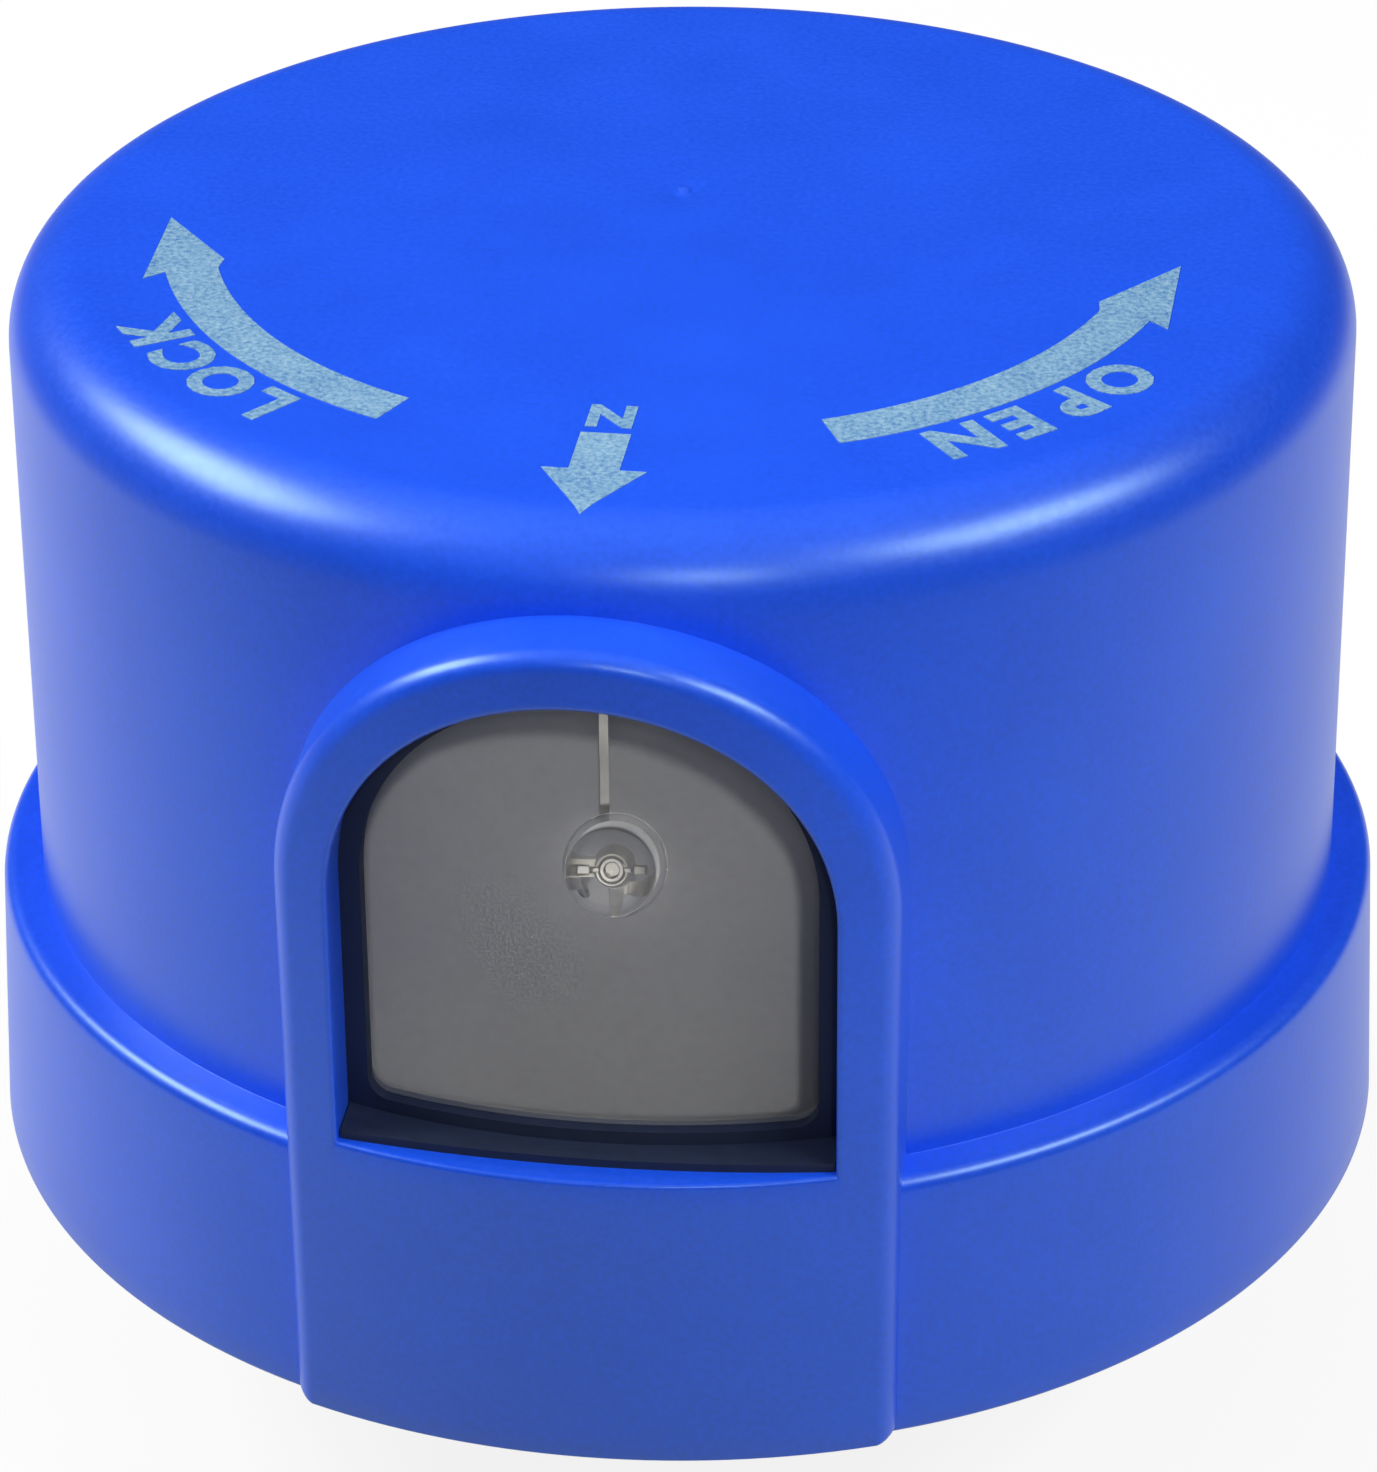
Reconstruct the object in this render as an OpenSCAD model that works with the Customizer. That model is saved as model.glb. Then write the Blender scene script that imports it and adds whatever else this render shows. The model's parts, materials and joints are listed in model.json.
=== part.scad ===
// Twist-lock photocell switch: a blue moulded cover with a framed side window over a round base.
// Millimetres. The origin is the centre of the gasket's sealing face, +Z runs up the axis and
// the window looks along -Y.

/* [Cover] */
// Height of the cover from its lower edge to its top
cover_h = 55; // [50:0.5:64]
// Diameter of the cover's body under the rounded top edge
body_d = 77.4; // [74:0.2:79]
// Widening of the body's diameter from its top down to the skirt
body_draft = 0.4; // [0:0.1:0.8]
// Wall thickness of the cover
wall = 2; // [1.6:0.1:2.4]
// Radius of the rounded top edge
top_round = 4.5; // [3:0.1:6]
// Diameter of the skirt at its lower edge
skirt_d = 84; // [83.6:0.1:85]
// Diameter of the skirt at its ledge
skirt_top_d = 82.6; // [82:0.1:83.4]
// Height of the skirt
skirt_h = 16.3; // [14:0.1:17]
// Radius of the skirt's rounded ledge
skirt_round = 0.9; // [0.4:0.1:1.2]
// Radius of the cover's rounded lower edge
edge_round = 0.3; // [0.2:0.05:0.45]
// Diameter of the dimple at the moulding gate
gate_d = 3.2; // [2:0.1:5]
// Distance of the gate behind the axis
gate_y = 6.4; // [3:0.1:10]
// Distance of the gate to the left of the axis
gate_x = 0.8; // [0:0.1:3]

/* [Window] */
// Distance of the window frame's front face from the axis
frame_reach = 43.2; // [42.8:0.1:44.5]
// Width of the window frame
frame_w = 33.8; // [32.6:0.1:36]
// Radius of the frame's rounded front edge
frame_round = 0.7; // [0.6:0.1:1.4]
// Thickness of the frame's front wall
frame_wall = 3.2; // [2.6:0.1:3.4]
// Thickness of the frame's side walls
frame_side = 2; // [1.6:0.1:2.2]
// Width of the window opening
opening_w = 27.3; // [24:0.1:28]
// Height of the window opening
opening_h = 28.9; // [26:0.1:31]
// Height of the sill above the cover's lower edge
sill_h = 18.5; // [17.5:0.1:20]
// Thickness of the black seal behind the frame
seal_t = 1.2; // [0.8:0.1:1.4]
// Width of the seal that shows inside the opening
seal_show = 1.25; // [0.8:0.05:1.8]
// Height of the seal that shows above the sill
seal_rise = 1.3; // [0.8:0.1:2.4]
// Radius of the seal's lower corners
seal_corner = 1.2; // [1:0.1:3]
// Thickness of the seal's lip that lies on the sill
lip_t = 0.5; // [0.3:0.1:0.8]
// Width of the bare sill in front of the lip's middle
lip_show = 1.6; // [1:0.1:2]
// Bow of the lip's front edge from its ends to its middle
lip_bow = 1.1; // [0.6:0.1:1.6]
// Thickness of the clear lens
lens_t = 2; // [1.4:0.1:2.1]
// Height of the lens's raised centre
lens_raise = 0.6; // [0.3:0.1:0.8]

/* [Base] */
// Height of the cover's lower edge above the gasket's sealing face
gasket_proud = 2.5; // [1.5:0.1:3.5]
// Distance of the base's underside above the cover's lower edge
base_recess = 0.5; // [0.2:0.1:1]
// Thickness of the base plate
base_t = 3.2; // [2.6:0.1:4]
// Thickness of the base's rim
rim_t = 2; // [1.6:0.1:2.4]
// Height of the snap bead above the cover's lower edge
bead_h = 8; // [6:0.5:10]
// Reach of the snap bead beyond the rim
bead_reach = 0.5; // [0.3:0.05:0.7]
// Outer diameter of the gasket
gasket_d = 70; // [62:0.5:74]
// Inner diameter of the gasket
gasket_bore = 47; // [46:0.5:50]
// Diameter of the raised island that carries the blades
island_d = 44; // [43:0.5:45]
// Distance of the island's face above the sealing face
island_rise = 1; // [0.6:0.1:1.4]

/* [Blades] */
// Diameter of the circle through the middle of the blades
blade_circle_d = 35; // [33:0.5:36]
// Thickness of the blade strip
blade_t = 1.5; // [1.2:0.1:1.8]
// Length of the blades below the sealing face
blade_l = 14.5; // [12:0.5:17]
// Width of the line and load blades along the circle
blade_w = 8; // [7:0.5:9]
// Width of the neutral blade along the circle
neutral_w = 11; // [9:0.5:12]
// Length of the locking toe along the circle
toe_l = 3.2; // [2:0.1:4]
// Height of the locking toe
toe_h = 5; // [4:0.1:7]
// Width of the blade's riveted tab
tab_w = 7; // [6.6:0.1:8]
// Diameter of the blade rivets
rivet_d = 3.2; // [2.6:0.1:3.6]

/* [Electronics] */
// Height of the circuit board's underside above the base plate
board_h = 39.8; // [38:0.2:41]
// Diameter of the circuit board
board_d = 66; // [64:0.5:68]
// Thickness of the circuit board
board_t = 1.6; // [1:0.1:2]
// Distance of the board's posts from the axis
post_reach = 27; // [25:0.5:28]
// Diameter of the posts at their top
post_d = 6.6; // [6:0.1:7.4]
// Diameter of the sensor's round body
sensor_d = 5; // [4.6:0.1:5.4]
// Length of the sensor from its flange to its tip
sensor_l = 8.6; // [7:0.1:9]
// Distance of the sensor's flange to the right of the window's centre line
sensor_x = -0.05; // [-2:0.05:2]
// Distance of the sensor's flange below the centre of the window's arch
sensor_drop = 4.2; // [3:0.1:6]
// Upward tilt of the sensor towards the sky
sensor_tilt = 27; // [10:1:35]
// Turn of the sensor to the right of straight ahead
sensor_turn = 6; // [-10:1:10]
// Clear space between the sensor's dome and the lens
sensor_gap = 0.7; // [0.3:0.1:1.5]
// Width of the grey light shield
shield_w = 40; // [36:0.5:41]
// Thickness of the light shield
shield_t = 1.5; // [1:0.1:2]
// Size of the relay's case along X, Y and Z
relay_size = [19, 15.5, 15.3]; // [12:0.1:20]
// Size of the film capacitor's case along X, Y and Z
film_size = [18, 7, 13]; // [6:0.1:18]
// Diameter of the surge varistor's disc
varistor_d = 14; // [10:0.5:15]
// Diameter of the electrolytic capacitor
can_d = 8; // [6.3:0.1:8.5]
// Height of the electrolytic capacitor
can_h = 12; // [9:0.5:16]
// Outer diameter of the insulated wires
wire_d = 2.2; // [1.6:0.1:2.6]

/* [Hidden] */
$fn = 72;
eps = 0.5; // how far a cutting shape runs past the face that it cuts

// Fits
press_gap = 0.1;  // between pieces that are pushed together
slide_gap = 0.2;  // between the base and the cover that snaps over it
lead_gap = 0.1;   // round a lead in its hole
bend_gap = 0.7;   // between the sensor's bent lead and the light shield

// Cover
edge_z = gasket_proud;
top_z = edge_z + cover_h;
ledge_z = edge_z + skirt_h;
body_top_r = body_d / 2;
body_foot_r = body_top_r + body_draft / 2;
body_in_r = body_top_r - wall;
skirt_in_r = skirt_top_d / 2 - wall;
shoulder_z = ledge_z - wall;
ceiling_z = top_z - wall;

// Window, outwards from the axis
opening_r = opening_w / 2;
sill_z = edge_z + sill_h;
arch_z = sill_z + opening_h - opening_r;
frame_r = frame_w / 2;
pocket_r = frame_r - frame_side;
pane_r = pocket_r - press_gap;
frame_back = frame_reach - frame_wall;
seal_back = frame_back - seal_t;
lens_back = seal_back - lens_t;
seal_hole_r = opening_r - seal_show;
seal_sill_z = sill_z + seal_rise;
lens_plug_r = seal_hole_r - press_gap;

// Base
plate_z = edge_z + base_recess;
floor_z = plate_z + base_t;
base_r = skirt_in_r - slide_gap;
rim_top_z = shoulder_z - slide_gap;
rim_in_r = base_r - rim_t;
bead_z = edge_z + bead_h;
tongue_r = frame_back - slide_gap; // the base's tongue closes the pocket under the window
bead_half = 0.9;
groove_more = 0.15; // the cover's groove is this much larger than the bead

// Blades
blade_in_r = blade_circle_d / 2 - blade_t / 2;
blade_out_r = blade_circle_d / 2 + blade_t / 2;
tip_z = -blade_l;
tab_z = floor_z;
tab_top_z = tab_z + blade_t;
tab_in_r = 5.5;
rivet_r = 11.4;
wire_r = 7.2;
slot_gap = 0.15;
rivet_head_d = rivet_d + 2.4;
rivet_head_h = 1.1;
rivet_sink = rivet_head_h + slot_gap;
line_angle = 330;
load_angle = 210;
neutral_angle = 90;
blade_angles = [line_angle, load_angle, neutral_angle];
function degrees_along(length) = length / (blade_circle_d / 2) * 180 / PI;

// Circuit board and its posts
board_z = floor_z + board_h;
board_top_z = board_z + board_t;
post_angles = [-5, 90, 185];
post_foot_d = post_d + 1.6;
pilot_d = 2.2;
pilot_l = 9;
screw_d = pilot_d;
screw_hole_d = 2.8;
screw_head_d = 5;
screw_head_h = 1.9;

// Sensor and light shield
sensor_z = arch_z - sensor_drop;
dome_l = sensor_l - sensor_d / 2; // from the back of the flange to the centre of the dome
sensor_y = sensor_gap - lens_back + sensor_d / 2 + dome_l * cos(sensor_tilt) * cos(sensor_turn);
sensor_at = [sensor_x, sensor_y, sensor_z];
flange_more = 0.8;
flange_d = sensor_d + flange_more;
flange_t = 1;
lead_w = 0.5;
lead_pitch = 2.54;
lead_jog = 0.65;  // how far the front lead comes in to the middle behind the flange
bend_reach = 2.2; // from the back of the flange to the leads' bend
cup_d = 0.95;
cup_depth = 0.5;
cup_reach = 5.2;  // from the back of the flange to the rim of the chip's cup
post_wide = 0.45; // the leads' flat tops beside the cup

// A point of the sensor, with its own -Y along its axis, in the part's frame
function sensor_point(p) = let (
    y = p[1] * cos(sensor_tilt) + p[2] * sin(sensor_tilt),
    z = p[2] * cos(sensor_tilt) - p[1] * sin(sensor_tilt))
    sensor_at + [p[0] * cos(sensor_turn) - y * sin(sensor_turn),
        p[0] * sin(sensor_turn) + y * cos(sensor_turn), z];

front_bend = sensor_point([lead_jog - lead_pitch / 2, bend_reach, 0]);
rear_bend = sensor_point([lead_pitch / 2, bend_reach, 0]);
shield_front_y = max(front_bend[1], rear_bend[1]) + lead_w / 2 + bend_gap;
shield_back_y = shield_front_y + shield_t;
shield_top_z = board_z - press_gap;
shield_hole_d = 1.4;
rear_run = 1.75; // from the shield to the rear lead's upright run
rear_lead_y = shield_back_y + rear_run;
upright_h = 30;
upright_wall = 1.6;
upright_grip = 1.5;

// Parts under the board: how far each hangs below it
standoff = 0.3;
small_drop = 0.6;
tall_drop = 1.5;
transistor_drop = 2.5;
lead_d = 0.8;
small_lead_d = 0.6;
joint_d = 1.7;
joint_tip_d = 0.9;
joint_h = 1;

// Sizes of the small parts
varistor_t = 4.5;
varistor_pitch = 7.5;
varistor_skew = 1.8;
varistor_lead_l = 4;
can_pitch = 3.5;
film_pitch = 15;
power_d = 5;
power_l = 12;
power_pitch = 18;
diode_d = 2.7;
diode_l = 5;
diode_pitch = 8;
diode_count = 4;
diode_step = 3.5;
signal_d = 2.4;
signal_l = 6;
signal_pitch = 9;
signal_count = 3;
signal_step = 3;
transistor_d = 4.8;
transistor_h = 4.8;
transistor_pitch = 1.9;

// Rows of parts, counted backwards from the light shield and one from the next
wire_step = 4.9;
transistor_step = 6;
front_step = 11.9;
diode_row_step = 9.8;
varistor_step = 8.2;
wire_row_y = shield_back_y + wire_step;
transistor_row_y = shield_back_y + transistor_step;
front_row_y = shield_back_y + front_step;
diode_row_y = front_row_y + diode_row_step;
varistor_row_y = diode_row_y + varistor_step;
relay_row_y = 8;
line_wire_x = 11;
load_wire_x = -10;
transistor_x = 5;
film_x = -4;
can_x = 13.5;
signal_x = -16.5;
diode_x = 8.5;
varistor_x = 16;
relay_x = -6;
power_x = -20;
neutral_wire_end = [9, 20];

relay_at = [relay_x, relay_row_y];
relay_pin_x = 7;
relay_coil_x = 4.6;
relay_pin_y = 5.5;
relay_pin_at = [for (p = [[-relay_pin_x, -relay_pin_y], [-relay_pin_x, relay_pin_y], [-relay_coil_x, 0],
    [relay_pin_x, -relay_pin_y], [relay_pin_x, relay_pin_y]]) relay_at + p];
film_at = [film_x, front_row_y];
film_lead_at = [for (s = [-1, 1]) film_at + [s * film_pitch / 2, 0]];
varistor_at = [varistor_x, varistor_row_y];
varistor_lead_at = [for (s = [-1, 1]) varistor_at + s / 2 * [varistor_pitch, varistor_skew]];
can_at = [can_x, front_row_y];
can_lead_at = [for (s = [-1, 1]) can_at + [s * can_pitch / 2, 0]];
power_at = [power_x, relay_row_y];
diode_at = [for (i = [0:diode_count - 1]) [diode_x + diode_step * i, diode_row_y]];
signal_at = [for (i = [0:signal_count - 1]) [signal_x - signal_step * i, front_row_y]];
transistor_at = [transistor_x, transistor_row_y];
transistor_lead_at = [for (i = [-1:1]) transistor_at + [i * transistor_pitch, 0]];
line_wire_end = [line_wire_x, wire_row_y];
load_wire_end = [load_wire_x, wire_row_y];

function spread_y(at, pitch) = [for (p = at, s = [-1, 1]) p + [0, s * pitch / 2]];
power_lead_at = spread_y([power_at], power_pitch);
diode_lead_at = spread_y(diode_at, diode_pitch);
signal_lead_at = spread_y(signal_at, signal_pitch);
sensor_lead_at = [[front_bend[0], front_bend[1]], [rear_bend[0], rear_lead_y]];

// Wires, from the blade tabs up to the board
wire_turn_z = 14;
wire_lift_z = 26;

joint_at = concat(relay_pin_at, film_lead_at, varistor_lead_at, can_lead_at, power_lead_at,
    diode_lead_at, signal_lead_at, transistor_lead_at, sensor_lead_at,
    [line_wire_end, load_wire_end, neutral_wire_end]);

// Colours
cover_blue = [0.11, 0.27, 0.88];
brass = [0.78, 0.62, 0.3];
tinned = [0.75, 0.75, 0.73];
black = [0.06, 0.06, 0.07];

// Shapes that repeat

// The window's outline: straight sides under a half-round arch, with round lower corners if asked
module window_outline(half_w, z_low, corner = 0) {
    translate([0, arch_z]) circle(half_w);
    translate([-half_w, z_low + corner]) square([2 * half_w, arch_z - z_low - corner]);
    if (corner > 0) {
        translate([corner - half_w, z_low]) square([2 * (half_w - corner), 2 * corner]);
        for (s = [-1, 1])
            translate([s * (half_w - corner), z_low + corner]) circle(corner);
    }
}

// That outline as a prism from the axis towards the front
module window_prism(half_w, z_low, corner = 0) {
    rotate([90, 0, 0]) linear_extrude(frame_reach + eps) window_outline(half_w, z_low, corner);
}

// A pane with that outline, curved between two radii
module window_pane(half_w, z_low, r_in, r_out, corner = 0) {
    difference() {
        intersection() {
            window_prism(half_w, z_low, corner);
            cylinder(r = r_out, h = top_z);
        }
        translate([0, 0, -eps]) cylinder(r = r_in, h = top_z + 2 * eps);
    }
}

module ring(r_in, r_out, z, h) {
    translate([0, 0, z]) difference() {
        cylinder(r = r_out, h = h);
        translate([0, 0, -eps]) cylinder(r = r_in, h = h + 2 * eps);
    }
}

// A curved strip on the blade circle that spans an angle either side of its middle
module blade_strip(from_deg, to_deg, z, h, grow = 0) {
    extra = degrees_along(grow);
    rotate([0, 0, from_deg - extra])
        rotate_extrude(angle = to_deg - from_deg + 2 * extra)
            translate([blade_in_r - grow, z]) square([blade_t + 2 * grow, h]);
}

module block(size, at, z) {
    translate([at[0] - size[0] / 2, at[1] - size[1] / 2, z]) cube(size);
}

// Straight leads that rise from a part to the top of the board
module leads(at, z, d = lead_d) {
    for (p = at)
        translate([p[0], p[1], z]) cylinder(d = d, h = board_top_z - z);
}

// Bent leads of a part that lies along Y under the board
module axial_leads(at, length, pitch, z, d) {
    for (p = at, s = [-1, 1]) {
        reach = pitch / 2 - length / 2;
        translate([p[0], p[1] + s * length / 2, z])
            rotate([-90 * s, 0, 0]) cylinder(d = d, h = reach);
        translate([p[0], p[1] + s * pitch / 2, z]) sphere(d = d);
        translate([p[0], p[1] + s * pitch / 2, z]) cylinder(d = d, h = board_top_z - z);
    }
}

module axial_body(at, length, d, z) {
    for (p = at)
        translate([p[0], p[1] - length / 2, z]) rotate([-90, 0, 0]) cylinder(d = d, h = length);
}

// A tube swept along points: straight rings where the path is vertical, smooth between
function path_point(a, b, t) = let (s = t * t * (3 - 2 * t))
    [a[0] + (b[0] - a[0]) * s, a[1] + (b[1] - a[1]) * s, wire_turn_z + (wire_lift_z - wire_turn_z) * t];

module wire(from, to) {
    sides = 8;
    steps = 10;
    path = concat([[from[0], from[1], tab_top_z]],
        [for (i = [0:steps]) path_point(from, to, i / steps)],
        [[to[0], to[1], board_z]]);
    last = len(path) - 1;
    aside = let (d = [to[0] - from[0], to[1] - from[1]]) [-d[1], d[0], 0] / norm(d);
    points = [for (i = [0:last])
        let (run = i == 0 || i == last ? [0, 0, 1] : path[i + 1] - path[i - 1],
            along = run / norm(run), up = cross(along, aside))
        for (k = [0:sides - 1])
            path[i] + wire_d / 2 * (cos(360 * k / sides) * aside + sin(360 * k / sides) * up)];
    faces = concat(
        [[for (k = [0:sides - 1]) k]],
        [for (i = [0:last - 1], k = [0:sides - 1])
            let (n = (k + 1) % sides)
            [i * sides + n, i * sides + k, (i + 1) * sides + k, (i + 1) * sides + n]],
        [[for (k = [sides - 1:-1:0]) last * sides + k]]);
    polyhedron(points, faces);
}

// The cover

module cover_outside() {
    foot = skirt_d / 2;
    shelf = skirt_top_d / 2;
    rotate_extrude() {
        polygon([[0, ledge_z - skirt_round], [body_foot_r, ledge_z - skirt_round],
            [body_top_r, top_z - top_round], [body_top_r - top_round, top_z], [0, top_z]]);
        translate([body_top_r - top_round, top_z - top_round]) circle(top_round);
        polygon([[0, edge_z], [foot - edge_round, edge_z], [foot, edge_z + edge_round],
            [shelf, ledge_z - skirt_round], [shelf - skirt_round, ledge_z], [0, ledge_z]]);
        translate([shelf - skirt_round, ledge_z - skirt_round]) circle(skirt_round);
        translate([foot - edge_round, edge_z + edge_round]) circle(edge_round);
    }
}

// The window frame stands out of the body on rings of the window's outline: a back, a wall,
// a quarter-round edge and a face that curves with the body
module frame_loft() {
    arch_steps = 24;
    edge_steps = 5;
    face_steps = 6;
    back_y = -body_in_r * 0.8;
    inner_r = frame_r - frame_round;
    edge = [for (i = [0:edge_steps]) let (a = 90 * i / edge_steps)
        [inner_r + frame_round * cos(a), frame_reach - frame_round + frame_round * sin(a)]];
    face = [for (i = [1:face_steps - 1]) [inner_r * (1 - i / face_steps), frame_reach]];
    rings = concat(edge, face);
    turns = concat([-90], [for (i = [0:arch_steps]) 180 * i / arch_steps - 90], [90]);
    count = len(turns);
    function ring_point(half_w, j) =
        j == 0 ? [-half_w, edge_z] :
        j == count - 1 ? [half_w, edge_z] :
        [half_w * sin(turns[j]), arch_z + half_w * cos(turns[j])];
    back_points = [for (j = [0:count - 1]) let (p = ring_point(frame_r, j)) [p[0], back_y, p[1]]];
    ring_points = [for (r = rings, j = [0:count - 1]) let (p = ring_point(r[0], j))
        [p[0], -sqrt(r[1] * r[1] - p[0] * p[0]), p[1]]];
    spine = [[0, -frame_reach, edge_z], [0, -frame_reach, arch_z]];
    points = concat(back_points, ring_points, spine);
    rows = len(rings);
    low = len(points) - 2;
    high = len(points) - 1;
    faces = concat(
        [[for (j = [count - 1:-1:0]) j]],
        [for (i = [0:rows - 1], j = [0:count - 2])
            [i * count + j, i * count + j + 1, (i + 1) * count + j + 1, (i + 1) * count + j]],
        [[rows * count, rows * count + 1, high, low]],
        [for (j = [1:count - 3]) [rows * count + j, rows * count + j + 1, high]],
        [[rows * count + count - 2, rows * count + count - 1, low, high]],
        [concat([for (i = [0:rows]) i * count], [low],
            [for (i = [rows:-1:0]) i * count + count - 1])]);
    polyhedron(points, faces);
}

// The frame with its lower front edge rounded off, in flats that turn about the axis
module frame_outside() {
    flats = 3;
    edge = [for (i = [1:flats]) let (a = 90 * i / flats)
        [frame_reach - edge_round * (1 - cos(a)), edge_z + edge_round * (1 - sin(a))]];
    slope = (edge_z + edge_round - edge[0][1]) / (frame_reach - edge[0][0]);
    difference() {
        frame_loft();
        rotate_extrude() polygon(concat(
            [[frame_reach + eps, edge_z - eps], [frame_reach + eps, edge_z + edge_round + eps * slope]], edge,
            [[frame_reach - edge_round, edge_z - eps]]));
    }
}

module cover_inside() {
    inner_round = max(top_round - wall, 0.5);
    rotate_extrude() {
        polygon([[0, edge_z - eps], [skirt_in_r, edge_z - eps], [skirt_in_r, shoulder_z],
            [body_in_r, shoulder_z], [body_in_r, ceiling_z - inner_round],
            [body_in_r - inner_round, ceiling_z], [0, ceiling_z]]);
        translate([body_in_r - inner_round, ceiling_z - inner_round]) circle(inner_round);
    }
    rotate_extrude() snap_bead(groove_more);
    intersection() {
        window_prism(pocket_r, edge_z - eps);
        translate([0, 0, edge_z - eps]) cylinder(r = frame_back, h = cover_h);
    }
    window_prism(opening_r, sill_z);
}

module cover() {
    gate_r = gate_d * 1.5;
    color(cover_blue) {
        difference() {
            union() {
                cover_outside();
                frame_outside();
            }
            cover_inside();
            translate([-gate_x, gate_y, top_z + sqrt(gate_r * gate_r - gate_d * gate_d / 4)]) sphere(gate_r);
        }
        translate([-gate_x, gate_y, top_z - wall / 2]) cylinder(d = gate_d * 0.3, h = wall / 2);
    }
}

// The window

// The lip that the seal lays on the sill, with a front edge that bows less than the frame
module seal_lip() {
    half_w = opening_r - press_gap;
    bow_r = (half_w * half_w + lip_bow * lip_bow) / (2 * lip_bow);
    intersection() {
        window_pane(half_w, sill_z, frame_back - seal_t / 2, frame_reach);
        translate([0, bow_r + lip_show - frame_reach, 0]) cylinder(r = bow_r, h = sill_z + lip_t);
    }
}

module window_seal() {
    color(black) {
        difference() {
            window_pane(pane_r, rim_top_z, seal_back, frame_back);
            window_prism(seal_hole_r, seal_sill_z, seal_corner);
        }
        seal_lip();
    }
}

module window_lens() {
    color([0.85, 0.9, 0.92, 0.4]) {
        window_pane(pane_r, rim_top_z, lens_back, seal_back);
        window_pane(lens_plug_r, seal_sill_z + press_gap, lens_back, seal_back + lens_raise, seal_corner);
    }
}

// The base and what seals it

// Section of the ring bead that the cover snaps over
module snap_bead(more = 0) {
    root = base_r - rim_t / 2;
    crest = base_r + bead_reach + more;
    half = bead_half + more;
    polygon([[root, bead_z - half], [base_r, bead_z - half], [crest, bead_z - half / 3],
        [crest, bead_z + half / 3], [base_r, bead_z + half], [root, bead_z + half]]);
}

module post(angle) {
    rotate([0, 0, angle]) translate([post_reach, 0, floor_z - base_t / 2])
        cylinder(d1 = post_foot_d, d2 = post_d, h = board_h + base_t / 2);
}

// One slotted upright that holds an edge of the light shield
module upright(side) {
    x_in = shield_w / 2 - upright_grip;
    x_out = shield_w / 2 + press_gap + upright_wall;
    y_front = shield_front_y - press_gap - upright_wall;
    depth = shield_t + 2 * (press_gap + upright_wall);
    mirror([side < 0 ? 1 : 0, 0, 0]) difference() {
        translate([x_in, y_front, plate_z + base_t / 2]) cube([x_out - x_in, depth, upright_h]);
        translate([x_in - eps, y_front + upright_wall, floor_z])
            cube([upright_grip + eps + press_gap, shield_t + 2 * press_gap, upright_h]);
    }
}

module base() {
    color(black) difference() {
        union() {
            intersection() {
                window_pane(pane_r, plate_z, base_r - rim_t / 2, tongue_r);
                cylinder(r = frame_reach, h = rim_top_z);
            }
            translate([0, 0, plate_z]) cylinder(r = base_r, h = base_t);
            ring(rim_in_r, base_r, plate_z, rim_top_z - plate_z);
            rotate_extrude() snap_bead();
            translate([0, 0, island_rise]) cylinder(d = island_d, h = plate_z - island_rise + eps);
            for (a = post_angles) post(a);
            for (s = [-1, 1]) upright(s);
        }
        for (a = post_angles)
            rotate([0, 0, a]) translate([post_reach, 0, board_z - pilot_l])
                cylinder(d = pilot_d, h = pilot_l + eps);
        for (a = blade_angles) {
            half = degrees_along((a == neutral_angle ? neutral_w : blade_w) / 2);
            blade_strip(a - half, a + half, island_rise - eps, floor_z - island_rise + 2 * eps, slot_gap);
            rotate([0, 0, a]) translate([rivet_r, 0, island_rise - eps]) {
                cylinder(d = rivet_d + 2 * lead_gap, h = floor_z - island_rise + 2 * eps);
                cylinder(d = rivet_head_d + 2 * slot_gap, h = rivet_sink + eps);
            }
        }
    }
}

module gasket() {
    color([0.17, 0.17, 0.18]) ring(gasket_bore / 2, gasket_d / 2, 0, plate_z);
}

// The twist-lock blades

module blade(angle, width) {
    half = degrees_along(width / 2);
    toe = degrees_along(toe_l);
    color(brass) difference() {
        union() {
            difference() {
                blade_strip(angle - half - toe, angle + half, tip_z, tab_top_z - tip_z);
                blade_strip(angle - half - toe, angle - half - degrees_along(eps),
                    tip_z + toe_h, tab_top_z - tip_z, eps);
            }
            rotate([0, 0, angle]) translate([tab_in_r, -tab_w / 2, tab_z])
                cube([blade_in_r + blade_t / 3 - tab_in_r, tab_w, blade_t]);
        }
        rotate([0, 0, angle]) translate([rivet_r, 0, tab_z - eps])
            cylinder(d = rivet_d + 2 * lead_gap, h = blade_t + 2 * eps);
    }
}

module line_blade() blade(line_angle, blade_w);
module load_blade() blade(load_angle, blade_w);
module neutral_blade() blade(neutral_angle, neutral_w);

module blade_rivets() {
    low = island_rise + rivet_sink - rivet_head_h;
    color(brass) for (a = blade_angles)
        rotate([0, 0, a]) translate([rivet_r, 0, 0]) {
            translate([0, 0, low]) cylinder(d = rivet_head_d, h = rivet_head_h);
            translate([0, 0, low]) cylinder(d = rivet_d, h = tab_top_z - low + rivet_head_h / 2);
            translate([0, 0, tab_top_z])
                cylinder(d1 = rivet_head_d, d2 = rivet_d, h = rivet_head_h);
        }
}

// The light shield and the sensor in front of it

module light_shield() {
    color([0.45, 0.44, 0.42]) difference() {
        translate([-shield_w / 2, shield_front_y, floor_z])
            cube([shield_w, shield_t, shield_top_z - floor_z]);
        translate([rear_bend[0], shield_front_y - eps, rear_bend[2]])
            rotate([-90, 0, 0]) cylinder(d = shield_hole_d, h = shield_t + 2 * eps);
    }
}

module in_sensor_frame() {
    translate(sensor_at) rotate([-sensor_tilt, 0, sensor_turn]) children();
}

// A square lead that rises from its bend to the top of the board
module lead_up(at, z, turn = 0) {
    translate([at[0], at[1], z]) rotate([0, 0, turn])
        translate(-lead_w / 2 * [1, 1, 1]) cube([lead_w, lead_w, board_top_z - z + lead_w / 2]);
}

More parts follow.
